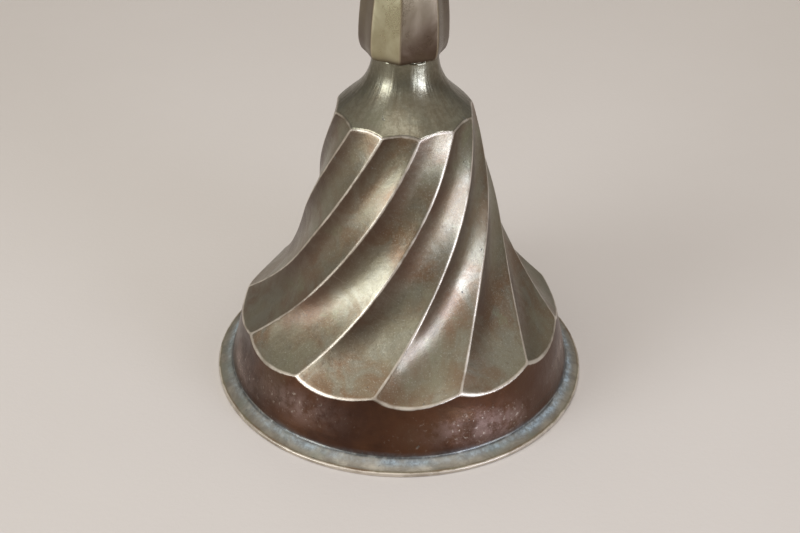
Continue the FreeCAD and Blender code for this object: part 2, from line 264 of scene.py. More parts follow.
def crossing(fluted, low, high):
    """Height in each column where the fluted and the turned radius meet, by halving."""
    low = np.full(fluted.columns, float(low))
    high = np.full(fluted.columns, float(high))
    sign = np.sign(fluted.radius(low) - turned_radius(low))
    for _ in range(40):
        middle = (low + high) / 2
        same = np.sign(fluted.radius(middle) - turned_radius(middle)) == sign
        low, high = np.where(same, middle, low), np.where(same, high, middle)
    return (low + high) / 2


class FlutedColumn:
    """The twisted column of flutes, each column of the grid at one place across a flute.

    Ridges differ a little in direction and radius and flutes in depth, as on a filed casting.
    """

    def __init__(self, per_flute=30, seed=7):
        share = np.arange(per_flute) / per_flute * 2 - 1
        self.across = np.tile(0.8 * np.sin(share * np.pi / 2) + 0.2 * share, FLUTES)
        self.flute = np.repeat(np.arange(FLUTES), per_flute)
        self.columns = FLUTES * per_flute
        rng = np.random.default_rng(seed)
        self.lean = rng.uniform(-1, 1, FLUTES) * math.radians(0.5)
        self.swell = 1 + rng.uniform(-1, 1, FLUTES) * 0.004
        self.phase = rng.uniform(0, 2 * np.pi, FLUTES)
        self.deepness = 1 + rng.uniform(-1, 1, FLUTES) * 0.12

    def between(self, values):
        """A value of each ridge, run smoothly from a flute's first ridge to its second."""
        s = (self.across + 1) / 2
        following = np.roll(values, -1)
        return values[self.flute] * (1 - s) + following[self.flute] * s

    def angle(self, z):
        """Direction of each column at height z: the twist, its place, its lean and a slow wander."""
        place = (self.flute + (self.across + 1) / 2) * 2 * np.pi / FLUTES
        wander = 0.004 * np.sin(z / 7.0 + self.between(self.phase))
        return ridge_angle(z) + place + self.between(self.lean) + wander

    def radius(self, z):
        """Radius of each column at height z: the ridges' radius, hollowed by the flute's depth."""
        ridge = ridge_radius(z) * self.between(self.swell)
        depth = flute_depth(z) * self.deepness[self.flute]
        return hollowed(ridge, self.across, depth, RIDGE_ROUND, FLUTES)


def soft_least(a, b, blend):
    """The lesser of a and b, with the corner between them rounded over about blend."""
    low = np.minimum(a, b)
    return low - blend * np.log(np.exp(-(a - low) / blend) + np.exp(-(b - low) / blend))


def bell_cup():
    """The cast cup as one closed skin.

    Rows run from the neck down the outside, round the lip, up the inside and back through the
    bore. Outside, the radius is the lesser of the twisted flutes and the turned outline, and a
    row lies exactly along each scalloped edge where the two meet.
    """
    column = FlutedColumn()
    top = crossing(column, SHOULDER_Z - 2.5, SHOULDER_Z + 4.5)
    foot = crossing(column, SKIRT_H - 4.4, SKIRT_H + 3.0)
    neck_round = 0.5
    skirt_end = LIP_RISE + 2.4
    s = np.linspace(0, 1, 40, endpoint=False)[:, None]
    dome_z = (NECK_Z - neck_round) + (top - NECK_Z + neck_round) * (1 - (1 - s) ** 1.4)
    s = np.linspace(0, 1, 104, endpoint=False)[:, None]
    flute_z = top + (foot - top) * (0.27 * s + 0.73 * (1 - np.cos(np.pi * s)) / 2)
    s = np.linspace(0, 1, 26, endpoint=False)[:, None]
    skirt_z = foot + (skirt_end - foot) * s ** 1.4
    z = np.concatenate([dome_z, flute_z, skirt_z])
    angle = column.angle(z)
    radius = soft_least(column.radius(z), turned_radius(z), 0.11)
    on_flutes = smoothstep(-0.4, 0.8, top - z) * smoothstep(-0.4, 0.8, z - foot)
    radius = radius + 0.05 * ripple(angle, z, 3) * on_flutes
    radius = radius + 0.07 * ripple(angle, z, 5, low=2, high=9, height=22) * (1 - on_flutes)
    rest = cup_rest(skirt_end, neck_round)
    wide = np.ones((1, column.columns))
    rest_angle = column.angle(np.full((len(rest), 1), TWIST_Z0))
    rest_r, rest_z = rest[:, :1] * wide, rest[:, 1:] * wide
    fade = np.clip((MOUTH_R + 0.5 - rest_r) / 3.0, 0, 1) * smoothstep(0.0, 3.0, rest_z)
    cast = 0.09 * ripple(rest_angle, rest_z, 11, waves=16, low=2, high=16, height=18) * fade
    rest_r = rest_r + cast * smoothstep(BORE_R + 0.5, CEILING_R, rest_r)
    radius = np.concatenate([radius, rest_r])
    z_all = np.concatenate([z, rest_z])
    angle = np.concatenate([angle, rest_angle])
    points = np.stack([radius * np.cos(angle), radius * np.sin(angle), z_all], -1)
    marks = cup_marks(column, angle, z_all, radius, len(z), top, foot)
    return skin("cup", points, marks=marks)


def inside_radius(z):
    """Radius of the smooth inside: a cone in the skirt, and an even wall behind the flutes."""
    skirt = FOOT_R - SKIRT_WALL - SKIRT_SLOPE * z
    waist = ridge_radius(np.maximum(z, SKIRT_H - 3)) * (1 - FLUTE_DEPTH) - WALL
    return soft_least(skirt, waist, 0.5)


def cup_rest(skirt_end, neck_round):
    """Path (r, z) of the cup's turned rest: corner, lip, underside, inside, ceiling, bore, neck."""
    foot = turned_radius(np.array(skirt_end)).item()
    lip = rounded([
        (foot, skirt_end, 0),
        (FOOT_R - 0.1, LIP_RISE + 0.05, 0.9),
        (MOUTH_R - LIP_WIDTH * 0.45, 1.32, 6.0),
        (MOUTH_R, LIP_EDGE + 0.05, 0.28),
        (MOUTH_R, 0, 0.28),
        (MOUTH_R - LIP_WIDTH, 0, 0),
    ], 6)
    mouth = FOOT_R - SKIRT_WALL
    under = rounded([(MOUTH_R - LIP_WIDTH, 0, 0), (mouth, 0, 0.6), (mouth - 0.3, 1.4, 0)], 5)[1:]
    z = np.linspace(1.8, CEILING_Z - CEILING_ROUND, 34)
    wall = np.stack([inside_radius(z), z], -1)
    ceiling = rounded([
        (wall[-1, 0], wall[-1, 1], 0),
        (wall[-1, 0] - 0.25, CEILING_Z, CEILING_ROUND * 0.93),
        (BORE_R, CEILING_Z, 0.2),
        (BORE_R, NECK_Z, 0.2),
        (NECK_R, NECK_Z, neck_round),
        (NECK_R + 0.1, NECK_Z - neck_round - 0.3, 0),
    ], 6)[1:-1]
    return np.concatenate([spread(lip, 0.45), spread(under, 1.2), wall, spread(ceiling, 2.5)])


def cup_marks(column, angle, z, radius, outside, top, foot):
    """Where the cup is worn, dark or stained, and where shade and highlight are painted on it, as values
    from 0 to 1 at each point.

    edge falls off as a bell curve from each ridge and scallop, rim from the mouth's edge.
    The skirt patches are bell curves round each lighter place on the skirt, a painted highlight partly
    from hand wear; the flute shade is painted shade on the side of a flute away from its far ridge, less
    at the foot, and the rest are soft masks.
    """
    rows = np.arange(len(z))[:, None] < outside
    span = radius * np.pi / FLUTES
    from_ridge = (1 - np.abs(column.across)) * span
    fluted = smoothstep(-0.1, 0.3, top - z) * smoothstep(-0.1, 0.3, z - foot) * rows
    ridge = np.exp(-((from_ridge / 0.37) ** 2)) * fluted
    upper = 0.7 * np.exp(-(((z - top) / 0.30) ** 2)) * rows
    lower = np.exp(-(((z - foot - 0.04) / 0.35) ** 2)) * rows
    rim = np.exp(-(((MOUTH_R - radius) / 0.45) ** 2)) * (z < 2)
    outer = (np.arange(len(z))[:, None] < outside + 20) & (radius > SKIRT_TOP_R - 2)
    corner = np.exp(-(((radius - FOOT_R - 0.75) / 0.95) ** 2)) * outer * smoothstep(3.6, 2.9, z)
    crease = np.exp(-(((radius - FOOT_R - 0.02) / 0.22) ** 2)) * outer * (z < 4) * (z > 1.5)
    inside = (np.arange(len(z))[:, None] > outside + 20) & (radius < FOOT_R - 1.5)
    # Lighter patches on the skirt: a painted highlight, partly hand wear.
    sheen_and_rub = 0
    for direction, width, height in SHEEN_AND_RUB_SPOTS:
        off = (np.degrees(angle) - direction + 180) % 360 - 180
        sheen_and_rub = sheen_and_rub + np.exp(-((off / width) ** 2) - ((z - height) / 3.2) ** 2)
    # Painted shade down the side of each flute away from its far ridge, weaker at the foot.
    above_foot = 0.3 + 0.7 * smoothstep(2, 15, z - foot)
    flute_shade = smoothstep(0.40, -0.85, column.across) * fluted * above_foot
    return {
        "edge": np.clip(ridge + upper + lower, 0, 1),
        "rim": rim,
        "skirt": smoothstep(-0.15, 0.35, foot - z) * outer * smoothstep(2.35, 2.75, z),
        "dome": smoothstep(-0.1, 0.4, z - top) * rows,
        "lip": outer * (z < 3.0) * 1.0,
        "stain": corner,
        "crease": crease,
        "inside": inside * 1.0,
        "sheen_and_rub": np.clip(sheen_and_rub, 0, 1) * outer,
        "flute_shade": flute_shade,
    }


# =====================================================================================
# The handle
# =====================================================================================

GRIP_FOOT_R = 8.9
GRIP_BULGE_R = 10.0
GRIP_WAIST_R = 6.7
GRIP_HEAD_R = 7.9
GRIP_UNDERCUT = 3.2       # height over which the grip rounds under to its foot
GRIP_CORNERS = (-178.0, -134.5, -94.5, -42.5, 2.0, 46.0, 89.0, 137.0)   # filed unevenly, degrees
GRIP_FACE_LIGHT_AND_WEAR = (0.2, 1.0, 0.12, 0.15, 0.6, 0.9, 0.3, 0.75)   # how pale each face is: painted facet light and shade, partly wear
GRIP_LEAN = -0.45         # how far the grip's foot sits off the axis, along X
GRIP_HOLLOW = 0.088       # depth of a facet, as a share of the corner radius


def grip_radius(h):
    """Corner radius of the grip, h above its underside: full, slim, then fuller under the knob."""
    slim = smoothstep(GRIP_UNDERCUT, 38.0, h)
    fuller = smoothstep(38.0, 57.0, h)
    body = GRIP_BULGE_R + (GRIP_WAIST_R - GRIP_BULGE_R) * slim + (GRIP_HEAD_R - GRIP_WAIST_R) * fuller
    lift = np.clip(1 - h / GRIP_UNDERCUT, 0, 1)
    return body - (GRIP_BULGE_R - GRIP_FOOT_R) * (1 - np.sqrt(1 - lift ** 2 * 0.98))


def handle_grip():
    """The eight-sided grip as one closed skin: faces, flat underside, top and the rod's bore.

    A face is hollowed between two corners as a flute is, and blends to a circle at the bore.
    """
    length = GRIP_HIGH[2] - GRIP_LOW[2]
    per_face = 18
    sides = len(GRIP_CORNERS)
    share = np.arange(per_face) / per_face * 2 - 1
    across = np.tile(0.85 * np.sin(share * np.pi / 2) + 0.15 * share, sides)
    face = np.repeat(np.arange(sides), per_face)
    start = np.radians(np.array(GRIP_CORNERS))
    gap = (np.roll(start, -1) - start) % (2 * np.pi)
    angle = start[face] + (across + 1) / 2 * gap[face]
    foot_h = 0.35
    s = np.linspace(0, 1, 14, endpoint=False)
    under = foot_h + (GRIP_UNDERCUT + 0.6 - foot_h) * s ** 1.3
    side = np.linspace(GRIP_UNDERCUT + 0.6, length - 0.5, 70)
    h = np.concatenate([under, side])
    outer = grip_radius(h)
    top_r, foot_r = outer[-1], outer[0]
    h = np.concatenate([[0.0, 0.0, 0.1], h, [length - 0.16, length, length], [length, 0.0]])
    edge = np.concatenate([
        [BORE_R + 1.5, foot_r - 0.32, foot_r - 0.1], outer,
        [top_r - 0.12, top_r - 0.45, BORE_R + 1.2], [BORE_R, BORE_R],
    ])
    round_off = np.where(edge < 5.2, 0.0, 1.0)[:, None]
    share_of_gap = (gap[face] / (2 * np.pi / sides)) ** 2
    depth = GRIP_HOLLOW * share_of_gap
    radius = hollowed(edge[:, None], across, depth, 0.3, sides) * round_off
    radius = radius + edge[:, None] * (1 - round_off)
    height = h[:, None] + 0 * angle
    fade = round_off * smoothstep(0, 1.5, h)[:, None] * smoothstep(0, 1.5, length - h)[:, None]
    radius = radius + 0.06 * ripple(angle, height, 21, low=2, high=6, height=26) * fade
    twist = np.radians(2.5) * np.clip(h / length, 0, 1)[:, None]
    lean = GRIP_LEAN * (1 - smoothstep(0, length, h))[:, None] * round_off
    points = np.stack([
        radius * np.cos(angle + twist) + lean,
        radius * np.sin(angle + twist),
        GRIP_LOW[2] + height,
    ], -1)
    from_corner = (1 - np.abs(across)) * edge[:, None] * gap[face] / 2
    corner = np.exp(-((from_corner / 0.38) ** 2)) * round_off
    ends = np.exp(-((h / 0.4) ** 2)) + np.exp(-(((length - h) / 0.4) ** 2))
    marks = {
        "edge": np.clip(corner + ends[:, None] * round_off, 0, 1),
        # Painted shade at the grip's foot.
        "corner_shade": np.repeat(np.exp(-((h / 1.2) ** 2))[:, None], len(angle), 1),
        # Each face's tone: painted facet light and shade, partly wear.
        "pale": np.repeat(np.array(GRIP_FACE_LIGHT_AND_WEAR)[face][None], len(h), 0),
    }
    return skin("grip", points, marks=marks)


def finial_knob():
    """The turned knob: a half-round collar, a hollow neck and a ball with a small flat on top."""
    low, high = KNOB_LOW[2], KNOB_HIGH[2]
    ball_r = 6.6
    ball_z = high - ball_r
    collar_h, collar_r, neck_r = 2.2, KNOB_HIGH[0], 4.2
    collar = rounded([
        (THREAD_R, low + 7.5, 0), (THREAD_R, low, 0.15), (collar_r - 0.9, low, 0.2),
        (collar_r, low + 0.5, 0.5), (collar_r, low + collar_h - 0.5, 0.5),
        (collar_r - 1.0, low + collar_h, 0.3), (neck_r + 0.9, low + collar_h, 0.5),
        (neck_r, low + collar_h + 0.9, 0.8), (neck_r + 0.35, low + collar_h + 1.5, 0),
    ], 6)
    join = math.asin((neck_r + 0.5) / ball_r)
    turn = np.linspace(join, np.pi - 0.08, 44)
    ball = np.stack([ball_r * np.sin(turn), ball_z - ball_r * np.cos(turn)], -1)
    end = np.array([(0.0, ball[-1, 1] + 0.01)])
    start = np.array([(0.0, low + 7.5)])
    path = np.concatenate([start, spread(collar, 0.5), ball, end])
    edge = np.exp(-(((path[:, 0] - collar_r) / 0.3) ** 2))
    # Painted shade in the narrow neck between the collar and the ball.
    corner_shade = np.exp(-(((path[:, 1] - low - collar_h - 0.8) / 0.8) ** 2)) * (path[:, 0] < collar_r - 1)
    marks = {"edge": edge, "corner_shade": corner_shade, "pale": np.full(len(path), 0.7)}
    return turned("knob", path, columns=120, close=False, marks=marks)


# =====================================================================================
# The tie rod and what it clamps
# =====================================================================================

def tie_rod():
    """The rod: a plain shank between two threaded ends, the thread a helix of 1 mm pitch.

    The thread's radius is a triangle wave of height less turns, faded out towards the shank.
    """
    low, high = box_mm("tie_rod")
    radius = high[0]
    nut_top = box_mm("leather_washer")[1][2] + 2
    knob_foot = KNOB_LOW[2] - 2
    pitch, cut = 1.0, 0.42
    per_turn = 10
    lower = np.arange(low[2], nut_top, pitch / per_turn)
    upper = np.arange(knob_foot, high[2], pitch / per_turn)
    z = np.concatenate([lower, np.linspace(nut_top, knob_foot, 12)[:-1], upper, [high[2]]])
    angle = np.arange(36) * 2 * np.pi / 36
    turn = (z[:, None] / pitch - angle / (2 * np.pi)) % 1
    threaded = np.maximum(
        smoothstep(0.0, 2.0, nut_top - z), smoothstep(0.0, 2.0, z - knob_foot)
    )[:, None]
    r = radius - 0.01 - cut * np.abs(2 * turn - 1) * threaded
    ends = smoothstep(0, 0.5, z - z[0]) * smoothstep(0, 0.5, z[-1] - z)
    r = r - 0.5 * (1 - ends)[:, None]
    points = np.stack([r * np.cos(angle), r * np.sin(angle), z[:, None] + 0 * angle], -1)
    caps = np.zeros((2, len(angle), 3))
    caps[0, :, 2], caps[1, :, 2] = z[0], z[-1]
    points = np.concatenate([caps[:1], points, caps[1:]])
    return skin("threaded_rod", points, close_rows=False)


def flat_ring(name, node, bore_r, edge_round, swell=0.0, seed=0):
    """A washer: a flat ring with rounded edges, its faces uneven by swell where it is soft."""
    low, high = box_mm(node)
    outer_r, bottom, top = high[0], low[2], high[2]
    path = rounded([
        (bore_r + 0.8, bottom, 0), (outer_r, bottom, edge_round), (outer_r, top, edge_round),
        (bore_r, top, edge_round * 0.6), (bore_r, bottom, edge_round * 0.6), (bore_r + 0.8, bottom, 0),
    ], 5)[:-1]
    path = spread(path, 0.5)
    angle = np.arange(96) * 2 * np.pi / 96
    r = path[:, :1] + swell * ripple(angle, path[:, 1:] * 3, seed) * (path[:, :1] > outer_r - 1.5)
    points = np.stack([r * np.cos(angle), r * np.sin(angle), path[:, 1:] + 0 * angle], -1)
    edge = np.exp(-(((path[:, 0] - outer_r) / 0.25) ** 2))
    return skin(name, points, marks={"edge": np.repeat(edge[:, None], 96, 1)})


def crown_leather():
    """The leather washer: a flat ring whose edge swells unevenly."""
    return flat_ring("crown_leather", "leather_washer", 3.3, 0.3, swell=0.12, seed=41)


def crown_nut():
    """A hexagon nut: six flats joined by small rounds, its corners cut by a cone on each face.

    The radius is the lesser of the hexagon, the corner round and the chamfer cone at that height.
    """
    low, high = box_mm("crown_nut")
    flat = high[1]
    corner = flat / math.cos(math.pi / 6)
    bore_r = THREAD_R
    angle = np.arange(180) * 2 * np.pi / 180
    within = (angle + np.pi / 6) % (np.pi / 3) - np.pi / 6
    hexagon = flat / np.cos((angle % (np.pi / 3)) - np.pi / 6)
    hexagon = soft_least(hexagon, np.full_like(hexagon, corner - 0.08), 0.05)
    height = high[2] - low[2]
    h = np.array([0, 0, 0.06, 0.2, 0.4, 0.6, 0.9, 1.4, height / 2])
    h = np.concatenate([h, height - h[-2::-1]])
    cone = flat - 0.15 + np.minimum(h, height - h)[:, None] * 1.35
    r = np.minimum(hexagon + 0 * cone, cone)
    r[0] = bore_r + 0.7
    r[-1] = bore_r + 0.7
    inner_h = np.array([height, height - 0.3, height / 2, 0.3, 0.0])
    inner_r = np.array([bore_r + 0.35, bore_r, bore_r, bore_r, bore_r + 0.35])[:, None] + 0 * angle
    r = np.concatenate([r, inner_r])
    h = np.concatenate([h, inner_h])
    z = low[2] + h[:, None] + 0 * angle
    near_corner = np.exp(-((within / 0.08) ** 2)) + 0 * z
    near_face = np.exp(-((np.minimum(h, height - h) / 0.35) ** 2))[:, None] + 0 * z
    points = np.stack([r * np.cos(angle), r * np.sin(angle), z], -1)
    return skin("hex_nut", points, marks={"edge": np.clip(near_corner + near_face, 0, 1)})


# =====================================================================================
# The clapper and its hanger
# =====================================================================================

BAR_SIDES = 28            # points round a bar
RING_POINTS = 96          # points round a forged eye


def carried(name, path, radius, worn):
    """A round bar carried along a closed path in one plane: a circle across the path's direction.

    path is (n, 3) in millimetres, with a radius and a wear from 0 to 1 at each of its points.
    The circle's first axis is the plane's normal.
    """
    radius = radius[:, None]
    ahead = np.roll(path, -1, 0) - np.roll(path, 1, 0)
    ahead /= np.linalg.norm(ahead, axis=1)[:, None]
    normal = np.array((1.0, 0, 0)) if np.ptp(path[:, 0]) < 1e-6 else np.array((0, 1.0, 0))
    other = np.cross(ahead, normal)
    angle = np.arange(BAR_SIDES) * 2 * np.pi / BAR_SIDES
    points = (
        path[:, None]
        + radius[..., None] * np.cos(angle)[None, :, None] * normal
        + radius[..., None] * np.sin(angle)[None, :, None] * other[:, None]
    )
    return skin(name, points, marks={"edge": np.repeat(worn[:, None], BAR_SIDES, 1)})


def joined(name, *pieces):
    """Several pieces as one object."""
    work = bmesh.new()
    for piece in pieces:
        work.from_mesh(piece.data)
    mesh = bpy.data.meshes.new(name)
    work.to_mesh(mesh)
    work.free()
    for piece in pieces:
        bpy.data.objects.remove(piece)
    mesh.polygons.foreach_set("use_smooth", np.ones(len(mesh.polygons), bool))
    whole = bpy.data.objects.new(name, mesh)
    bpy.context.scene.collection.objects.link(whole)
    return whole


def ring_path(centre_z, radius):
    """Points on a circle in the XZ plane, centred on the axis."""
    turn = np.linspace(0, 2 * np.pi, RING_POINTS, endpoint=False)
    return np.stack([radius * np.sin(turn), 0 * turn, centre_z + radius * np.cos(turn)], -1)


def clapper_staple():
    """The eye nut: a tapered collar, and a forged ring under it that thickens into its root."""
    low, high = box_mm("clapper_staple")
    wire, ring = 1.2, 3.8
    ring_z = low[2] + ring + wire
    collar_foot = high[2] - 7.0
    bore_r, collar_r = 3.05, 4.5
    path = rounded([
        (bore_r, collar_foot + 2.4, 0), (bore_r, high[2], 0.2), (collar_r, high[2], 0.35),
        (collar_r, collar_foot + 2.2, 0.6), (2.3, collar_foot + 0.1, 0.9), (0.0, collar_foot - 0.35, 0),
    ], 6)
    path = np.concatenate([[(0.0, collar_foot + 2.4)], spread(path, 0.4)])
    edge = np.exp(-(((path[:, 0] - collar_r) / 0.25) ** 2))
    collar = turned("collar", path, columns=72, close=False, marks={"edge": edge})
    eye = ring_path(ring_z, ring)
    from_root = np.abs((np.arange(RING_POINTS) / RING_POINTS * 2 + 1) % 2 - 1)
    thick = wire + 0.45 * np.exp(-(((1 - from_root) / 0.16) ** 2)) - 0.08 * from_root * (1 - from_root)
    worn = np.exp(-((from_root / 0.12) ** 2))
    bar = carried("eye", eye, thick, worn)
    return joined("staple", collar, bar)


def hanger_link():
    """The wire link: two half circles and two straights, with a brazed swelling on one side."""
    low, high = box_mm("hanger_link")
    wire = 1.0
    bend = high[1] - wire
    top_z, foot_z = high[2] - wire - bend, low[2] + wire + bend
    turn = np.linspace(0, np.pi, 30)
    upper = np.stack([0 * turn, bend * np.cos(turn), top_z + bend * np.sin(turn)], -1)
    lower = np.stack([0 * turn, -bend * np.cos(turn), foot_z - bend * np.sin(turn)], -1)
    s = np.linspace(0, 1, 16)[1:-1, None]
    left = upper[-1] + (lower[0] - upper[-1]) * s
    right = lower[-1] + (upper[0] - lower[-1]) * s
    path = np.concatenate([upper, left, lower, right])
    middle = (top_z + foot_z) / 2
    braze = np.exp(-(((path[:, 2] - middle) / 0.7) ** 2)) * (path[:, 1] > 0)
    thick = wire - 0.01 + 0.18 * braze
    worn = np.exp(-(((np.abs(path[:, 2] - middle) - bend - 2.2) / 0.8) ** 2))
    return carried("link", path, thick, worn)


def clapper_stem():
    """The forged stem: an eye bent from the bar, a tapering shank, a shoulder and a riveted foot."""
    low, high = box_mm("clapper_stem")
    seat = box_mm("clapper_ball")[1][2]
    rove_foot = box_mm("ball_rove")[0][2]
    wire, ring = 1.2, 3.6
    ring_z = high[2] - wire - ring
    neck_z = ring_z - ring
    shank_r, shoulder_r = 1.58, 2.9
    path = rounded([
        (0.0, low[2] + 0.02, 0), (1.5, low[2] + 0.05, 0.5), (2.3, low[2] + 0.65, 0.4),
        (2.3, rove_foot, 0.1), (shank_r, rove_foot, 0), (shank_r, seat, 0), (shoulder_r, seat, 0.12),
        (shoulder_r, seat + 0.9, 0.3), (1.65, seat + 1.7, 0.8), (1.5, neck_z - 4.5, 6.0),
        (2.1, neck_z - 0.2, 1.2), (1.0, neck_z + 0.9, 0.4), (0.0, neck_z + 1.0, 0),
    ], 7)
    path = spread(path, 0.5)
    riveted = (path[:, 1] < rove_foot) & (path[:, 0] > 1)
    edge = np.exp(-(((path[:, 0] - shoulder_r) / 0.2) ** 2)) + 0.7 * riveted
    shank = turned("shank", path, columns=64, close=False, marks={"edge": np.clip(edge, 0, 1)})
    eye = ring_path(ring_z, ring)
    from_top = np.abs((np.arange(RING_POINTS) / RING_POINTS * 2 + 1) % 2 - 1)
    thick = wire - 0.01 + 0.25 * np.exp(-((from_top / 0.14) ** 2))
    worn = np.exp(-(((1 - from_top) / 0.1) ** 2))
    bar = carried("eye", eye, thick, worn)
    return joined("stem", shank, bar)


def clapper_ball():
    """The striking ball: a sphere faced flat above and below, bruised where it strikes the cup."""
    low, high = box_mm("clapper_ball")
    radius, flat_r, bore_r = 7.5, 3.1, 1.62
    centre = (low[2] + high[2]) / 2
    flat = math.asin(flat_r / radius)
    turn = np.linspace(flat, np.pi - flat, 60)
    ball = np.stack([radius * np.sin(turn), centre - radius * np.cos(turn)], -1)
    path = np.concatenate([
        [(bore_r, low[2]), (2.4, low[2]), (2.95, low[2] + 0.02)], ball,
        [(2.95, high[2] - 0.02), (2.4, high[2]), (bore_r, high[2])],
        [(bore_r, centre)],
    ])
    angle = np.arange(128) * 2 * np.pi / 128
    r = path[:, :1] + 0 * angle
    z = path[:, 1:] + 0 * angle
    rng = np.random.default_rng(31)
    bruise = 0
    for _ in range(46):
        side = rng.choice([-1, 1]) * np.pi / 2 + rng.normal(0, 0.28)
        lift = centre + rng.normal(0.2, 1.3)
        away = ((angle - side + np.pi) % (2 * np.pi) - np.pi) * radius
        spot = np.exp(-((away / rng.uniform(0.5, 1.0)) ** 2) - ((z - lift) / rng.uniform(0.4, 0.9)) ** 2)
        bruise = np.maximum(bruise, spot)
    on_ball = (r > 3.4).astype(float)
    r = r - 0.07 * bruise * on_ball + 0.03 * (ripple(angle, z, 33, height=9) - 1) * on_ball
    points = np.stack([r * np.cos(angle), r * np.sin(angle), z], -1)
    edge = np.exp(-(((path[:, 0] - flat_r) / 0.2) ** 2))[:, None] + 0 * angle
    return skin("ball", points, marks={"edge": np.clip(edge + bruise, 0, 1)})


# =====================================================================================
# Finishes
# =====================================================================================

class Finish:
    """A procedural material being put together. Each method adds nodes and returns a socket.

    Patterns are laid out in object coordinates, so a scale is a count per metre. film is the
    share of a thin clear oxide or wax layer over the metal.
    """

    def __init__(self, name, film=0.0):
        self.stuff = bpy.data.materials.new(name)
        self.stuff.use_nodes = True
        self.tree = self.stuff.node_tree
        self.shader = self.tree.nodes["Principled BSDF"]
        self.place = self.node("ShaderNodeTexCoord").outputs["Object"]
        for socket, value in (("Coat Weight", film), ("Coat Roughness", 0.24), ("Coat IOR", 1.6)):
            self.shader.inputs[socket].default_value = value

    def node(self, kind, *values, **settings):
        """A node with its settings, its inputs in order set to values or linked to sockets."""
        made = self.tree.nodes.new(kind)
        for key, value in settings.items():
            setattr(made, key, value)
        for socket, value in zip(made.inputs, values):
            self.give(socket, value)
        return made

    def give(self, socket, value):
        """Sets a socket to a value or links it to another socket; None leaves it alone."""
        if value is None:
            return
        if isinstance(value, bpy.types.NodeSocket):
            self.tree.links.new(value, socket)
        else:
            socket.default_value = value

    def sum(self, how, a, b=None, clamp=False):
        """One arithmetic step on one or two values."""
        return self.node("ShaderNodeMath", a, b, operation=how, use_clamp=clamp).outputs[0]

    def mark(self, name):
        """A value stored on the mesh."""
        return self.node("ShaderNodeAttribute", attribute_name=name).outputs["Fac"]

    def noise(self, scale, detail=4.0, rough=0.55, warp=0.0, where=None):
        """Cloudy noise about 0.5, with scale clouds to the metre."""
        made = self.node("ShaderNodeTexNoise")
        for key, value in (
            ("Vector", where or self.place), ("Scale", scale), ("Detail", detail),
            ("Roughness", rough), ("Distortion", warp),
        ):
            self.give(made.inputs[key], value)
        return made.outputs["Fac"]

    def step(self, value, low, high, to_low=0.0, to_high=1.0):
        """value from low to high, turned smoothly into to_low to to_high."""
        made = self.node("ShaderNodeMapRange", interpolation_type="SMOOTHSTEP")
        for key, given in (
            ("Value", value), ("From Min", low), ("From Max", high),
            ("To Min", to_low), ("To Max", to_high),
        ):
            self.give(made.inputs[key], given)
        return made.outputs["Result"]

    def spots(self, scale, size, share):
        """Round spots in some of the cells of a cellular pattern: 1 in a spot's middle."""
        cells = self.node("ShaderNodeTexVoronoi")
        self.give(cells.inputs["Vector"], self.place)
        cells.inputs["Scale"].default_value = scale
        pick = self.node("ShaderNodeSeparateColor", cells.outputs["Color"]).outputs[0]
        chosen = self.sum("LESS_THAN", pick, share)
        near = self.step(cells.outputs["Distance"], size * 0.4, size, 1.0, 0.0)
        return self.sum("MULTIPLY", chosen, near)

    def scratches(self, scale, stretch, low, high):
        """Thin marks: where a noise stretched along one slant comes close to its middle value."""
        slant = self.node("ShaderNodeMapping")
        self.give(slant.inputs["Vector"], self.place)
        slant.inputs["Rotation"].default_value = (0.5, 0.9, 0.3)
        slant.inputs["Scale"].default_value = (1.0, stretch, 1.0)
        value = self.noise(scale, 1.0, 0.4, 0.6, slant.outputs["Vector"])
        off = self.sum("ABSOLUTE", self.sum("SUBTRACT", value, 0.5))
        return self.step(off, low, high, 1.0, 0.0)

    def round_the_axis(self, lengthwise):
        """A place on a unit cylinder about the axis, its height scaled: no seam anywhere."""
        parts = self.node("ShaderNodeSeparateXYZ", self.place).outputs
        flat = self.node("ShaderNodeCombineXYZ", parts[0], parts[1], 0.0).outputs[0]
        unit = self.node("ShaderNodeVectorMath", flat, operation="NORMALIZE").outputs[0]
        tall = self.sum("MULTIPLY", parts[2], lengthwise)
        height = self.node("ShaderNodeCombineXYZ", 0.0, 0.0, tall).outputs[0]
        return self.node("ShaderNodeVectorMath", unit, height, operation="ADD").outputs[0]

    def mix(self, share, a, b):
        """Colour a where share is 0, colour b where it is 1."""
        made = self.node("ShaderNodeMix", data_type="RGBA")
        self.give(made.inputs[0], share)
        for socket, value in ((made.inputs[6], a), (made.inputs[7], b)):
            self.give(socket, value if isinstance(value, bpy.types.NodeSocket) else (*value, 1.0))
        return made.outputs[2]

    def blend(self, share, a, b):
        """Value a where share is 0, value b where it is 1."""
        made = self.node("ShaderNodeMix", data_type="FLOAT")
        for socket, value in ((made.inputs[0], share), (made.inputs[2], a), (made.inputs[3], b)):
            self.give(socket, value)
        return made.outputs[0]

    def relief(self, *layers):
        """Bumps stacked on one another; each layer is (height socket, depth in millimetres)."""
        normal = None
        for height, depth in layers:
            made = self.node("ShaderNodeBump")
            made.inputs["Distance"].default_value = depth * MM
            self.give(made.inputs["Height"], height)
            if normal is not None:
                self.give(made.inputs["Normal"], normal)
            normal = made.outputs["Normal"]
        self.give(self.shader.inputs["Normal"], normal)

    def done(self, colour, rough, metallic):
        """The finished material, its last three sockets filled."""
        self.give(self.shader.inputs["Base Color"], colour)
        self.give(self.shader.inputs["Roughness"], rough)
        self.give(self.shader.inputs["Metallic"], metallic)
        return self.stuff


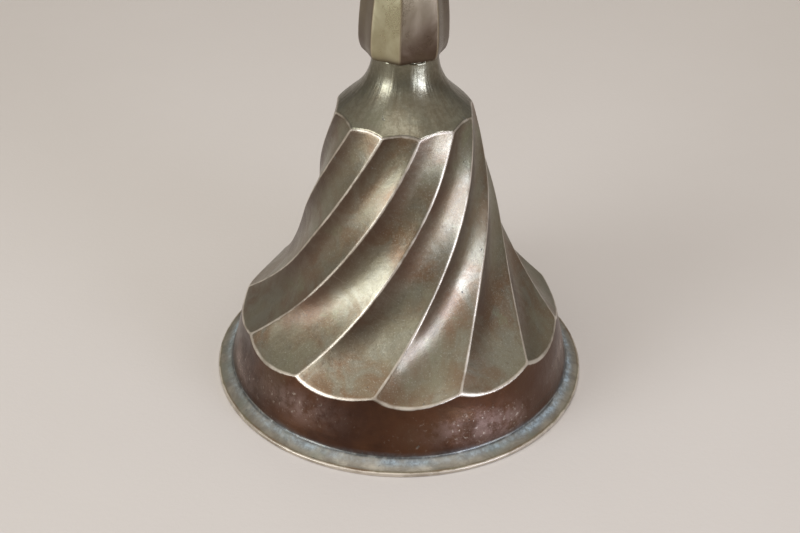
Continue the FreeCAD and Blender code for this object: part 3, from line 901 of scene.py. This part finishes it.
def patinated_brass():
    """Old brass: olive in the flutes with painted shade down one side of each, worn bright on every edge
    and partly painted as a highlight there, dark and pitted on the skirt with painted highlight patches,
    verdigris and a painted shade line in the corner of the lip, dull oxide and soot inside."""
    f = Finish("patinated_brass", film=0.24)
    edge, rim, skirt, dome = (f.mark(k) for k in ("edge", "rim", "skirt", "dome"))
    lip, stain, crease, inside = (f.mark(k) for k in ("lip", "stain", "crease", "inside"))
    flute_shade, sheen_and_rub = f.mark("flute_shade"), f.mark("sheen_and_rub")
    broad = f.noise(55, 5, 0.6, 0.6)
    cloud = f.noise(140, 6, 0.62, 0.8)
    grain = f.noise(900, 5, 0.65)
    fine = f.noise(3200, 3, 0.6)
    colour = f.mix(f.step(broad, 0.36, 0.64), (0.150, 0.090, 0.047), (0.186, 0.162, 0.103))
    colour = f.mix(f.step(cloud, 0.42, 0.70, 0, 0.8), colour, (0.203, 0.186, 0.134))
    colour = f.mix(f.step(f.noise(85, 4, 0.6, 1.0), 0.56, 0.70, 0, 0.5), colour, (0.190, 0.190, 0.110))
    colour = f.mix(f.step(grain, 0.52, 0.72, 0, 0.5), colour, (0.12, 0.09, 0.055))
    colour = f.mix(f.step(fine, 0.55, 0.72, 0, 0.45), colour, (0.36, 0.33, 0.26))
    # Painted shade: the side of each flute away from its far ridge is darkened to a dark brown.
    painted_shade = f.sum("MULTIPLY", flute_shade, f.step(cloud, 0.3, 0.7, 0.95, 0.70))
    colour = f.mix(painted_shade, colour, (0.062, 0.032, 0.018))
    dark_dome = f.mix(f.step(grain, 0.40, 0.62), (0.132, 0.120, 0.078), (0.182, 0.169, 0.118))
    colour = f.mix(f.sum("MULTIPLY", dome, 0.75), colour, dark_dome)
    uneven, drifts = f.noise(95, 4, 0.55), f.noise(42, 2, 0.5, 0.4)
    red_brown = f.mix(f.step(uneven, 0.30, 0.72), (0.038, 0.0115, 0.003), (0.084, 0.031, 0.010))
    red_brown = f.mix(f.step(drifts, 0.50, 0.64, 0, 0.65), red_brown, (0.075, 0.026, 0.008))
    red_brown = f.mix(f.step(broad, 0.5, 0.75, 0, 0.35), red_brown, (0.100, 0.068, 0.032))
    # Painted highlight: lighter mauve patches on the skirt, partly hand wear, with glints gathered in
    # them below.
    sheen_and_rub_patch = f.sum("MULTIPLY", sheen_and_rub, f.step(f.noise(230, 5, 0.68), 0.36, 0.62, 0.10, 0.85))
    red_brown = f.mix(sheen_and_rub_patch, red_brown, (0.215, 0.140, 0.115))
    colour = f.mix(skirt, colour, red_brown)
    grey_lip = f.mix(f.step(cloud, 0.40, 0.62), (0.172, 0.147, 0.110), (0.262, 0.230, 0.176))
    grey_lip = f.mix(f.step(f.noise(110, 4, 0.6), 0.5, 0.64, 0, 0.55), grey_lip, (0.15, 0.155, 0.115))
    colour = f.mix(lip, colour, grey_lip)
    dull = f.mix(f.step(cloud, 0.34, 0.68), (0.15, 0.112, 0.068), (0.27, 0.215, 0.135))
    colour = f.mix(inside, colour, dull)
    nicks = f.step(f.noise(480, 2, 0.5), 0.745, 0.78)
    colour = f.mix(f.sum("MULTIPLY", nicks, 0.6), colour, (0.06, 0.055, 0.04))
    glints = f.step(f.noise(950, 4, 0.62), 0.57, 0.74)
    glint_share = f.sum("MULTIPLY", glints, f.sum("ADD", f.sum("MULTIPLY", skirt, 0.55), 0.2))
    gathered = f.sum("MAXIMUM", f.step(f.noise(90, 3, 0.6), 0.54, 0.70, 0, 0.3), sheen_and_rub)
    glint_share = f.sum("MULTIPLY", glint_share, gathered)
    colour = f.mix(glint_share, colour, (0.60, 0.52, 0.42))
    marks = f.sum("MULTIPLY", f.scratches(34, 7.0, 0.0, 0.006), f.step(broad, 0.5, 0.6, 0.0, 0.45))
    marks = f.sum("MULTIPLY", marks, f.step(skirt, 0.0, 1.0, 0.14, 0.04))
    colour = f.mix(marks, colour, (0.50, 0.43, 0.32))
    # Worn ridges, scallops and mouth edge: real wear, made pale and partly non-metal (metal 0.62 below)
    # so the lines look lit all round, which is partly a painted highlight.
    patchy = f.step(f.noise(260, 4, 0.6), 0.30, 0.62, 0.55, 1.0)
    worn = f.step(f.sum("MULTIPLY", edge, patchy), 0.18, 0.78)
    worn = f.sum("MAXIMUM", worn, f.step(f.sum("MULTIPLY", rim, patchy), 0.30, 0.72))
    bright = f.mix(f.step(f.noise(150, 3, 0.6), 0.35, 0.62), (0.32, 0.265, 0.20), (0.50, 0.43, 0.34))
    colour = f.mix(f.sum("MULTIPLY", worn, 0.92), colour, bright)
    blooms = f.step(f.noise(170, 4, 0.6, 0.3), 0.34, 0.62, 0.45, 1.0)
    stretches = f.step(f.noise(38, 3, 0.5), 0.36, 0.58, 0.45, 1.0)
    green = f.sum("MULTIPLY", f.sum("MULTIPLY", stain, blooms), stretches)
    green = f.sum("MAXIMUM", f.sum("MULTIPLY", green, 0.78), f.sum("MULTIPLY", crease, 0.3))
    teal = f.mix(f.step(grain, 0.40, 0.64), (0.110, 0.145, 0.160), (0.28, 0.35, 0.38))
    colour = f.mix(green, colour, teal)
    # Painted shade: a near-black line along the crease between the skirt and the lip.
    gap = f.sum("MULTIPLY", crease, f.step(f.noise(500, 3, 0.6), 0.36, 0.54, 0.4, 1.0))
    colour = f.mix(f.sum("MULTIPLY", gap, 0.85), colour, (0.03, 0.028, 0.025))
    rough = f.step(cloud, 0.35, 0.68, 0.44, 0.35)
    rough = f.sum("ADD", rough, f.step(fine, 0.35, 0.7, -0.04, 0.06))
    rough = f.blend(skirt, rough, f.step(cloud, 0.35, 0.65, 0.42, 0.30))
    rough = f.blend(dome, rough, f.step(grain, 0.35, 0.65, 0.36, 0.29))
    rough = f.blend(inside, rough, 0.62)
    rough = f.blend(worn, rough, 0.38)
    rough = f.blend(green, rough, 0.85)
    metal = f.blend(green, f.blend(inside, 0.92, 0.75), 0.05)
    metal = f.blend(f.sum("MULTIPLY", nicks, 0.5), metal, 0.3)
    metal = f.blend(worn, metal, 0.62)
    streaks = f.noise(3.2, 3, 0.5, 0, f.round_the_axis(12))
    turning = f.noise(2.5, 3, 0.6, 0, f.round_the_axis(1500))
    height = f.sum("ADD", f.sum("MULTIPLY", nicks, -1.0), f.sum("MULTIPLY", glint_share, -0.3))
    f.relief(
        (f.sum("MULTIPLY", streaks, dome), 0.42), (f.noise(75, 2, 0.5), 0.38),
        (f.sum("MULTIPLY", turning, dome), 0.016),
        (f.noise(330, 3, 0.55), 0.055), (grain, 0.045), (fine, 0.008), (height, 0.04),
    )
    return f.done(colour, rough, metal)


def satin_brass():
    """Hand-held brass: smooth faces in a pale or brown tone, which on the grip is painted facet light
    and shade with some wear, faint filing marks round them, lighter corners, and painted shade at the
    grip's foot and in the knob's neck."""
    f = Finish("satin_brass", film=0.15)
    edge, corner_shade, pale = f.mark("edge"), f.mark("corner_shade"), f.mark("pale")
    cloud = f.noise(120, 5, 0.6, 0.7)
    grain = f.noise(1300, 4, 0.6)
    filing = f.noise(2.2, 3, 0.55, 0, f.round_the_axis(1400))
    brown = f.mix(f.step(cloud, 0.34, 0.66), (0.076, 0.046, 0.030), (0.104, 0.069, 0.048))
    cream = f.mix(f.step(cloud, 0.34, 0.66), (0.350, 0.310, 0.190), (0.410, 0.368, 0.238))
    shade = f.sum("ADD", pale, f.step(f.noise(48, 3), 0.3, 0.7, -0.14, 0.14), clamp=True)
    colour = f.mix(shade, brown, cream)
    colour = f.mix(f.step(grain, 0.62, 0.76, 0, 0.08), colour, (0.11, 0.08, 0.05))
    colour = f.mix(f.sum("MULTIPLY", f.step(edge, 0.40, 0.95), 0.45), colour, (0.50, 0.42, 0.29))
    # Painted shade at the grip's foot and in the knob's neck.
    painted_shade = f.sum("MULTIPLY", corner_shade, f.step(cloud, 0.3, 0.6, 0.5, 0.85))
    colour = f.mix(painted_shade, colour, (0.085, 0.050, 0.028))
    rough = f.step(cloud, 0.35, 0.65, 0.27, 0.35)
    rough = f.sum("ADD", rough, f.step(grain, 0.4, 0.7, -0.01, 0.03))
    rough = f.blend(corner_shade, rough, 0.5)
    f.relief((f.noise(110, 2), 0.07), (filing, 0.006), (grain, 0.001))
    return f.done(colour, rough, 1.0)


def zinc_steel():
    """Plated steel: grey with a faint yellow bloom, dulled in clouds, bright on its corners."""
    f = Finish("zinc_steel")
    edge = f.mark("edge")
    cloud = f.noise(260, 5, 0.6, 0.5)
    grain = f.noise(2600, 4, 0.6)
    colour = f.mix(f.step(cloud, 0.35, 0.65), (0.33, 0.32, 0.30), (0.52, 0.51, 0.49))
    colour = f.mix(f.step(f.noise(420, 4), 0.55, 0.68, 0, 0.6), colour, (0.40, 0.34, 0.22))
    colour = f.mix(f.spots(900, 0.4, 0.08), colour, (0.13, 0.07, 0.035))
    colour = f.mix(f.sum("MULTIPLY", f.step(edge, 0.3, 0.9), 0.8), colour, (0.72, 0.72, 0.70))
    rough = f.blend(edge, f.step(cloud, 0.35, 0.65, 0.52, 0.36), 0.26)
    f.relief((cloud, 0.02), (grain, 0.006))
    return f.done(colour, rough, 1.0)


def black_iron():
    """Forged iron: dark scale over hammered steel, rust in its hollows, bright where it rubs."""
    f = Finish("black_iron")
    edge = f.mark("edge")
    cloud = f.noise(300, 5, 0.65, 0.6)
    grain = f.noise(2200, 5, 0.65)
    colour = f.mix(f.step(cloud, 0.35, 0.65), (0.045, 0.042, 0.040), (0.12, 0.11, 0.10))
    rust = f.step(f.noise(520, 5, 0.6, 0.4), 0.54, 0.68)
    colour = f.mix(f.sum("MULTIPLY", rust, 0.7), colour, (0.15, 0.065, 0.03))
    worn = f.step(f.sum("MULTIPLY", edge, f.step(cloud, 0.3, 0.6, 0.6, 1.0)), 0.3, 0.85)
    colour = f.mix(worn, colour, (0.55, 0.53, 0.50))
    rough = f.blend(worn, f.step(grain, 0.35, 0.65, 0.45, 0.62), 0.28)
    metal = f.blend(rust, 0.95, 0.3)
    f.relief((f.noise(380, 3), 0.12), (grain, 0.02))
    return f.done(colour, rough, metal)


def clapper_brass():
    """The ball's brass: brown with age, turning lines round it, bright where it has struck."""
    f = Finish("clapper_brass")
    edge = f.mark("edge")
    cloud = f.noise(190, 5, 0.6, 0.6)
    grain = f.noise(1700, 4, 0.6)
    turning = f.noise(3, 2, 0.5, 0, f.round_the_axis(2600))
    colour = f.mix(f.step(cloud, 0.36, 0.64), (0.27, 0.185, 0.085), (0.42, 0.32, 0.17))
    colour = f.mix(f.step(grain, 0.58, 0.74, 0, 0.6), colour, (0.12, 0.09, 0.05))
    colour = f.mix(f.sum("MULTIPLY", f.step(edge, 0.25, 0.9), 0.85), colour, (0.80, 0.66, 0.42))
    rough = f.blend(edge, f.step(cloud, 0.35, 0.65, 0.44, 0.32), 0.25)
    f.relief((turning, 0.008), (grain, 0.015))
    return f.done(colour, rough, 1.0)


def washer_leather():
    """Oiled leather: brown, creased grain, darker and harder at its cut edge."""
    f = Finish("washer_leather")
    edge = f.mark("edge")
    cells = f.node("ShaderNodeTexVoronoi", feature="DISTANCE_TO_EDGE")
    f.give(cells.inputs["Vector"], f.place)
    cells.inputs["Scale"].default_value = 1900
    creases = f.step(cells.outputs["Distance"], 0.0, 0.18)
    cloud = f.noise(330, 5, 0.6)
    colour = f.mix(f.step(cloud, 0.35, 0.66), (0.085, 0.038, 0.018), (0.19, 0.095, 0.045))
    colour = f.mix(f.sum("SUBTRACT", 1.0, creases), colour, (0.04, 0.02, 0.012))
    colour = f.mix(f.sum("MULTIPLY", edge, 0.6), colour, (0.05, 0.028, 0.016))
    rough = f.step(cloud, 0.3, 0.7, 0.50, 0.68)
    f.relief((creases, 0.05), (f.noise(2500, 3), 0.02))
    return f.done(colour, rough, 0.0)


def floor_paper():
    """A pale paper floor: a faint mottling of its colour and tooth."""
    f = Finish("floor_paper")
    colour = f.mix(f.noise(9, 4, 0.6), (0.49, 0.44, 0.39), (0.53, 0.48, 0.43))
    f.relief((f.noise(700, 3, 0.6), 0.05))
    return f.done(colour, f.step(f.noise(40, 3), 0.3, 0.7, 0.78, 0.88), 0.0)


# =====================================================================================
# Camera, light and floor
# =====================================================================================

def look_from(elevation, distance, aim_z, slip, roll, lens):
    """The camera in front of the bell, above it by elevation degrees, aimed at a point on its axis."""
    place = Vector((0, -math.cos(elevation), math.sin(elevation))) * distance * MM
    aim = Vector((slip, 0, aim_z)) * MM
    turn = (aim - place).to_track_quat("-Z", "Y").to_matrix()
    data = bpy.data.cameras.new("camera")
    data.lens = lens
    data.sensor_width = 36.0
    data.clip_start, data.clip_end = 0.01, 20.0
    camera = bpy.data.objects.new("camera", data)
    camera.matrix_world = (
        Matrix.Translation(place) @ (turn @ Matrix.Rotation(roll, 3, "Z")).to_4x4()
    )
    bpy.context.scene.collection.objects.link(camera)
    bpy.context.scene.camera = camera


def panel(name, place, aim, size, power, colour, spread):
    """A soft studio panel light, aimed at a point, its light kept within spread degrees."""
    data = bpy.data.lights.new(name, "AREA")
    data.shape = "RECTANGLE"
    data.size, data.size_y = size
    data.energy = power
    data.color = colour
    data.spread = math.radians(spread)
    light = bpy.data.objects.new(name, data)
    light.location = place
    light.rotation_euler = (Vector(aim) - Vector(place)).to_track_quat("-Z", "Y").to_euler()
    bpy.context.scene.collection.objects.link(light)


def studio():
    """A room paler overhead than at the horizon, three soft panels and a pale floor."""
    world = bpy.data.worlds.new("studio")
    world.use_nodes = True
    nodes, links = world.node_tree.nodes, world.node_tree.links
    where = nodes.new("ShaderNodeTexCoord")
    parts = nodes.new("ShaderNodeSeparateXYZ")
    fade = nodes.new("ShaderNodeMapRange")
    fade.interpolation_type = "SMOOTHSTEP"
    for key, value in (("From Min", 0.05), ("From Max", 0.62), ("To Min", 0.18), ("To Max", 0.80)):
        fade.inputs[key].default_value = value
    links.new(where.outputs["Generated"], parts.inputs[0])
    links.new(parts.outputs["Z"], fade.inputs["Value"])
    links.new(fade.outputs["Result"], nodes["Background"].inputs["Strength"])
    nodes["Background"].inputs["Color"].default_value = (0.95, 0.92, 0.885, 1)
    bpy.context.scene.world = world
    bpy.context.scene.view_settings.view_transform = "Standard"
    centre = (0, 0, 0.05)
    panel("left", (-0.49, -0.33, 0.23), centre, (0.44, 0.32), 0.54, (0.84, 0.91, 1.0), 60)
    panel("right", (0.44, -0.40, 0.12), centre, (0.36, 0.20), 0.44, (0.70, 0.78, 1.0), 60)
    panel("top", (-0.05, -0.12, 0.80), centre, (0.55, 0.55), 2.0, (0.95, 0.97, 1.0), 180)
    mesh = bpy.data.meshes.new("floor")
    reach = 9.0
    mesh.from_pydata(
        [(-reach, -reach, 0), (reach, -reach, 0), (reach, reach, 0), (-reach, reach, 0)],
        [], [(0, 1, 2, 3)],
    )
    mesh.materials.append(floor_paper())
    floor = bpy.data.objects.new("floor", mesh)
    bpy.context.scene.collection.objects.link(floor)


look_from(math.radians(37.32), 385.1, 27.4, -0.25, math.radians(1.165), 68.92)
studio()
FINISHES = {
    make.__name__: make()
    for make in (patinated_brass, satin_brass, zinc_steel, black_iron, clapper_brass, washer_leather)
}
PIECES = (
    (bell_cup(), "bell_shell", "patinated_brass", "bell"),
    (handle_grip(), "handle_grip", "satin_brass", "bell"),
    (finial_knob(), "finial_knob", "satin_brass", "bell"),
    (tie_rod(), "tie_rod", "zinc_steel", "bell"),
    (crown_leather(), "leather_washer", "washer_leather", "bell"),
    (flat_ring("steel_washer", "crown_washer", 3.25, 0.14), "crown_washer", "zinc_steel", "bell"),
    (crown_nut(), "crown_nut", "zinc_steel", "bell"),
    (clapper_staple(), "clapper_staple", "black_iron", "bell"),
    (hanger_link(), "hanger_link", "zinc_steel", "link"),
    (clapper_stem(), "clapper_stem", "black_iron", "clapper"),
    (clapper_ball(), "clapper_ball", "clapper_brass", "clapper"),
    (flat_ring("rove", "ball_rove", 1.62, 0.12), "ball_rove", "zinc_steel", "clapper"),
)
for piece, node, finish, body in PIECES:
    piece.data.materials.append(FINISHES[finish])
    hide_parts(node)
    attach(piece, body)
